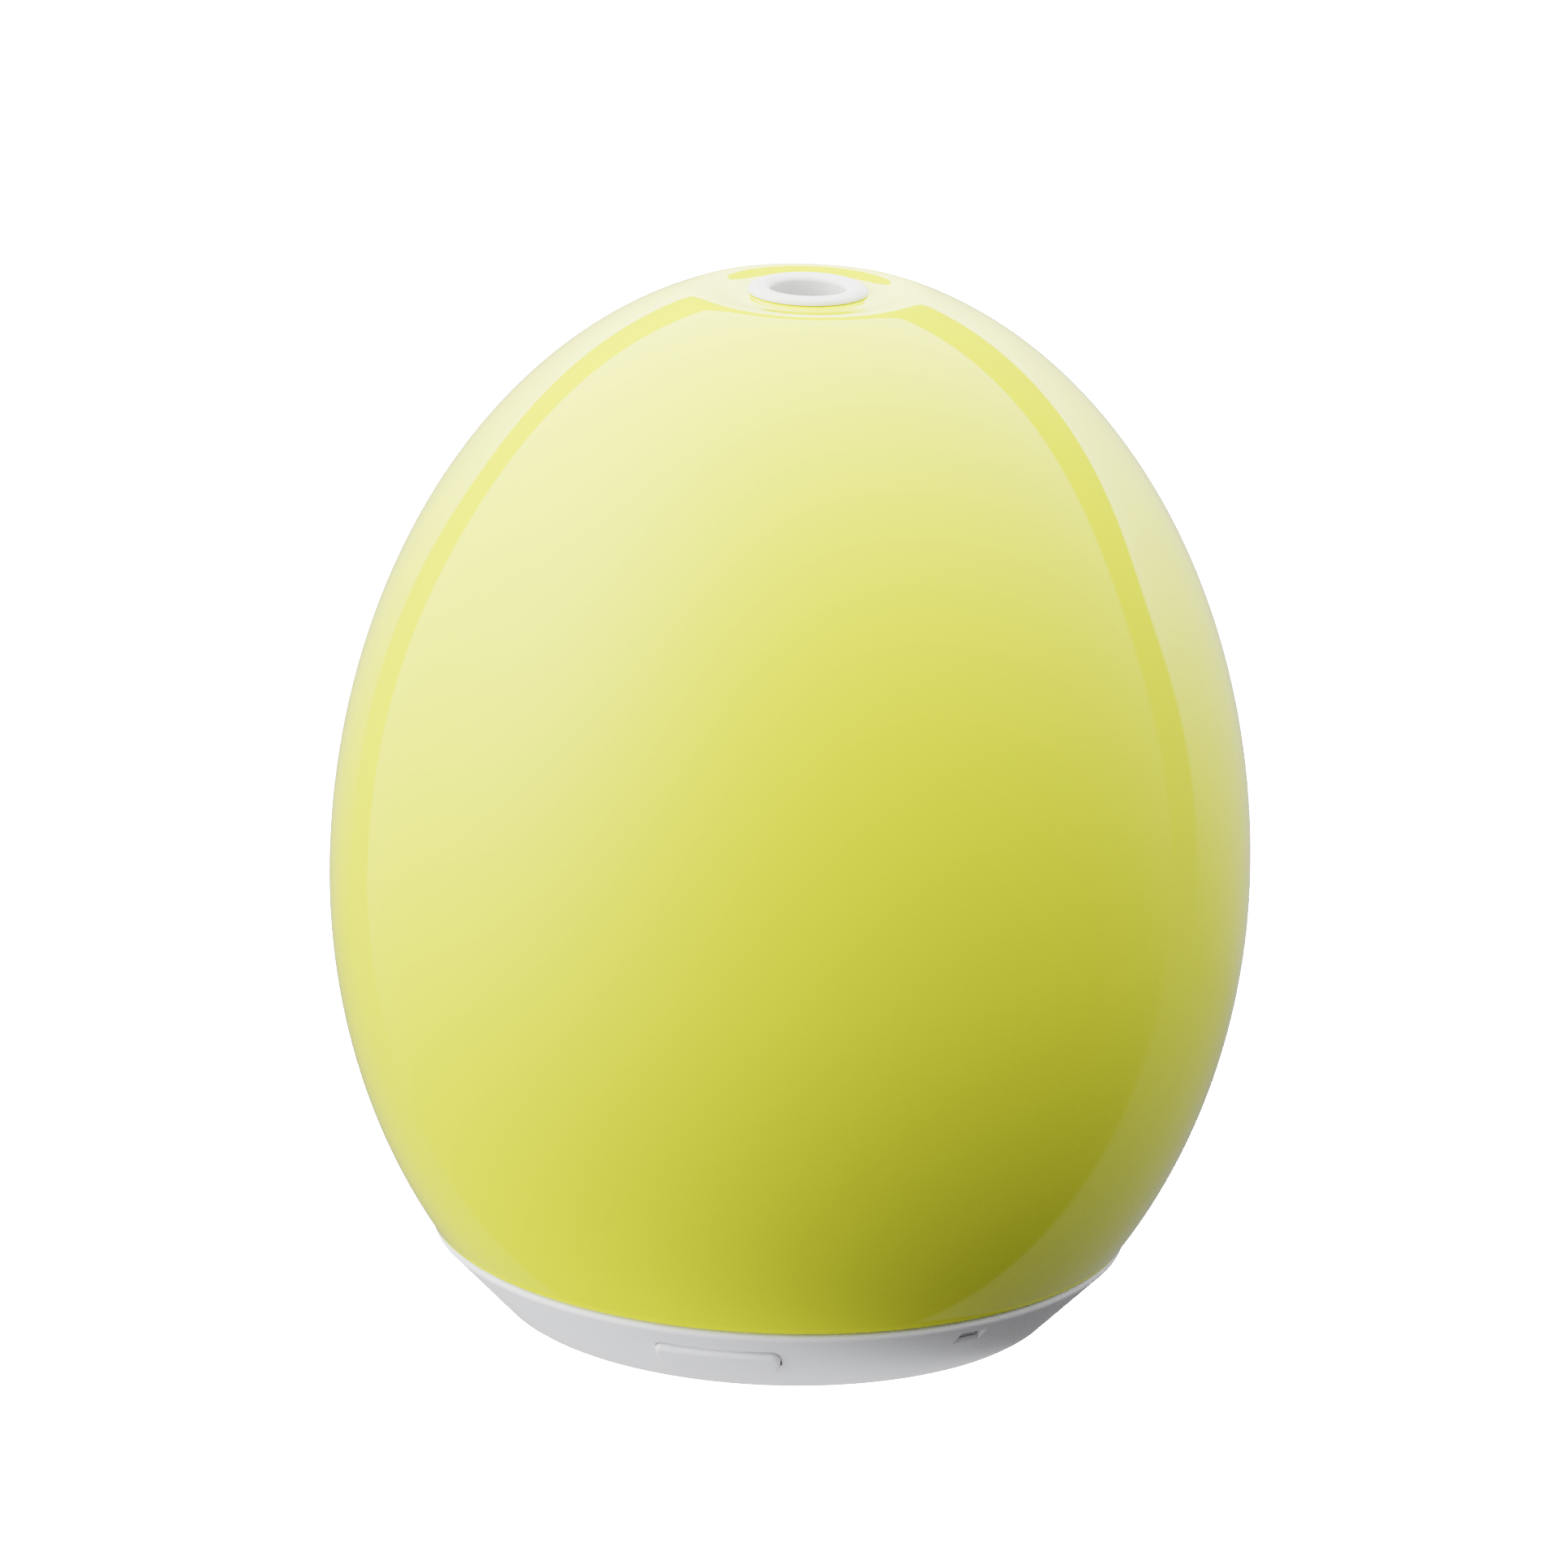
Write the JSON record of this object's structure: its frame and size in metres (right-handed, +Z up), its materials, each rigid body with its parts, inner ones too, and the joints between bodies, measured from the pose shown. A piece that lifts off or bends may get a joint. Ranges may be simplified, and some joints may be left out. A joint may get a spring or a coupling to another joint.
{
  "type": "humidifier",
  "caption": "Egg-shaped table-top cool mist humidifier: a glossy lift-off cover over a lidded water tank on a low tapered base with a front push button.",
  "frame": {"origin": "on the surface the feet stand on, under the centre of the mist outlet", "axes": "+Z up through the mist outlet, -Y to the front where the button is, +Y to the rear where the power socket is"},
  "size_m": [0.15, 0.15, 0.1748],
  "materials": {
    "cover_lime": "high gloss moulded lime plastic",
    "housing_white": "satin moulded plastic",
    "outlet_white": "satin moulded plastic",
    "tank_white": "satin moulded plastic",
    "silicone": "matt silicone",
    "foot_rubber": "matt rubber",
    "black_plastic": "fine grained moulded plastic",
    "board_green": "solder mask",
    "connector_white": "moulded plastic",
    "lens_clear": "diffusing clear plastic",
    "filter_foam": "open cell foam",
    "float_plastic": "foamed plastic",
    "lead_red": "soft insulation",
    "lead_black": "soft insulation",
    "lead_white": "soft insulation",
    "steel": "zinc plated",
    "aluminium": "satin",
    "ceramic_disc": "piezo ceramic with a silvered face"
  },
  "bodies": {
    "base": {"air_duct": "tank_white", "air_hood": "housing_white", "base_ring": "housing_white", "board_screw_1": "steel", "board_screw_2": "steel", "board_screw_3": "steel", "bottom_plate": "housing_white", "capacitor": "lead_black", "case_screw_1": "steel", "case_screw_2": "steel", "case_screw_3": "steel", "case_screw_4": "steel", "coil": "black_plastic", "controller_chip": "black_plastic", "cover_cushion_ring": "silicone", "drive_transistor": "black_plastic", "fan_connector": "connector_white", "fan_frame": "black_plastic", "fan_lead": "lead_black", "fan_screw_1": "steel", "fan_screw_2": "steel", "float_retainer": "outlet_white", "foot_1": "foot_rubber", "foot_2": "foot_rubber", "foot_3": "foot_rubber", "foot_4": "foot_rubber", "heat_sink": "aluminium", "intake_filter": "filter_foam", "main_board": "board_green", "power_socket": "black_plastic", "reed_switch": "lens_clear", "socket_connector": "connector_white", "socket_lead": "lead_black", "socket_pin": "steel", "status_light": "board_green", "status_light_lead": "lead_white", "status_window": "lens_clear", "switch_board": "board_green", "switch_connector": "connector_white", "switch_lead": "lead_white", "tact_switch": "black_plastic", "tank_sleeve": "tank_white", "transducer_bracket": "aluminium", "transducer_connector": "connector_white", "transducer_disc": "ceramic_disc", "transducer_lead": "lead_red", "transducer_screw_1": "steel", "transducer_screw_2": "steel", "transducer_screw_3": "steel", "transducer_seal": "silicone", "water_tank": "tank_white"},
    "cover": {"outer_cover": "cover_lime", "mist_outlet_ring": "outlet_white"},
    "lid": {"tank_lid": "tank_white", "lid_chimney": "tank_white", "lid_seal": "silicone"},
    "button": {"power_button": "housing_white", "switch_plunger": "lead_red"},
    "rotor": {"fan_rotor": "black_plastic"},
    "float": {"water_float": "float_plastic"}
  },
  "joints": [
    {"name": "cover_lift", "type": "slide", "parent": "base", "child": "cover", "axis": [0, 0, 1], "range_m": [0, 0.2]},
    {"name": "lid_lift", "type": "slide", "parent": "base", "child": "lid", "axis": [0, 0, 1], "range_m": [0, 0.04]},
    {"name": "button_press", "type": "slide", "parent": "base", "child": "button", "axis": [0, 0.7439, 0.6683], "range_m": [0, 0.0006], "stiffness_N_per_m": 2000, "springref_m": -0.0003},
    {"name": "fan_spin", "type": "hinge", "parent": "base", "child": "rotor", "pos_m": [-0.022, 0, 0.0135], "axis": [0, 0, 1], "continuous": true},
    {"name": "float_rise", "type": "slide", "parent": "base", "child": "float", "axis": [0, 0, 1], "range_m": [0, 0.0125]}
  ],
  "couplings": [
    {"joint": "lid_lift", "follows": "cover_lift", "ratio": 0.2}
  ]
}
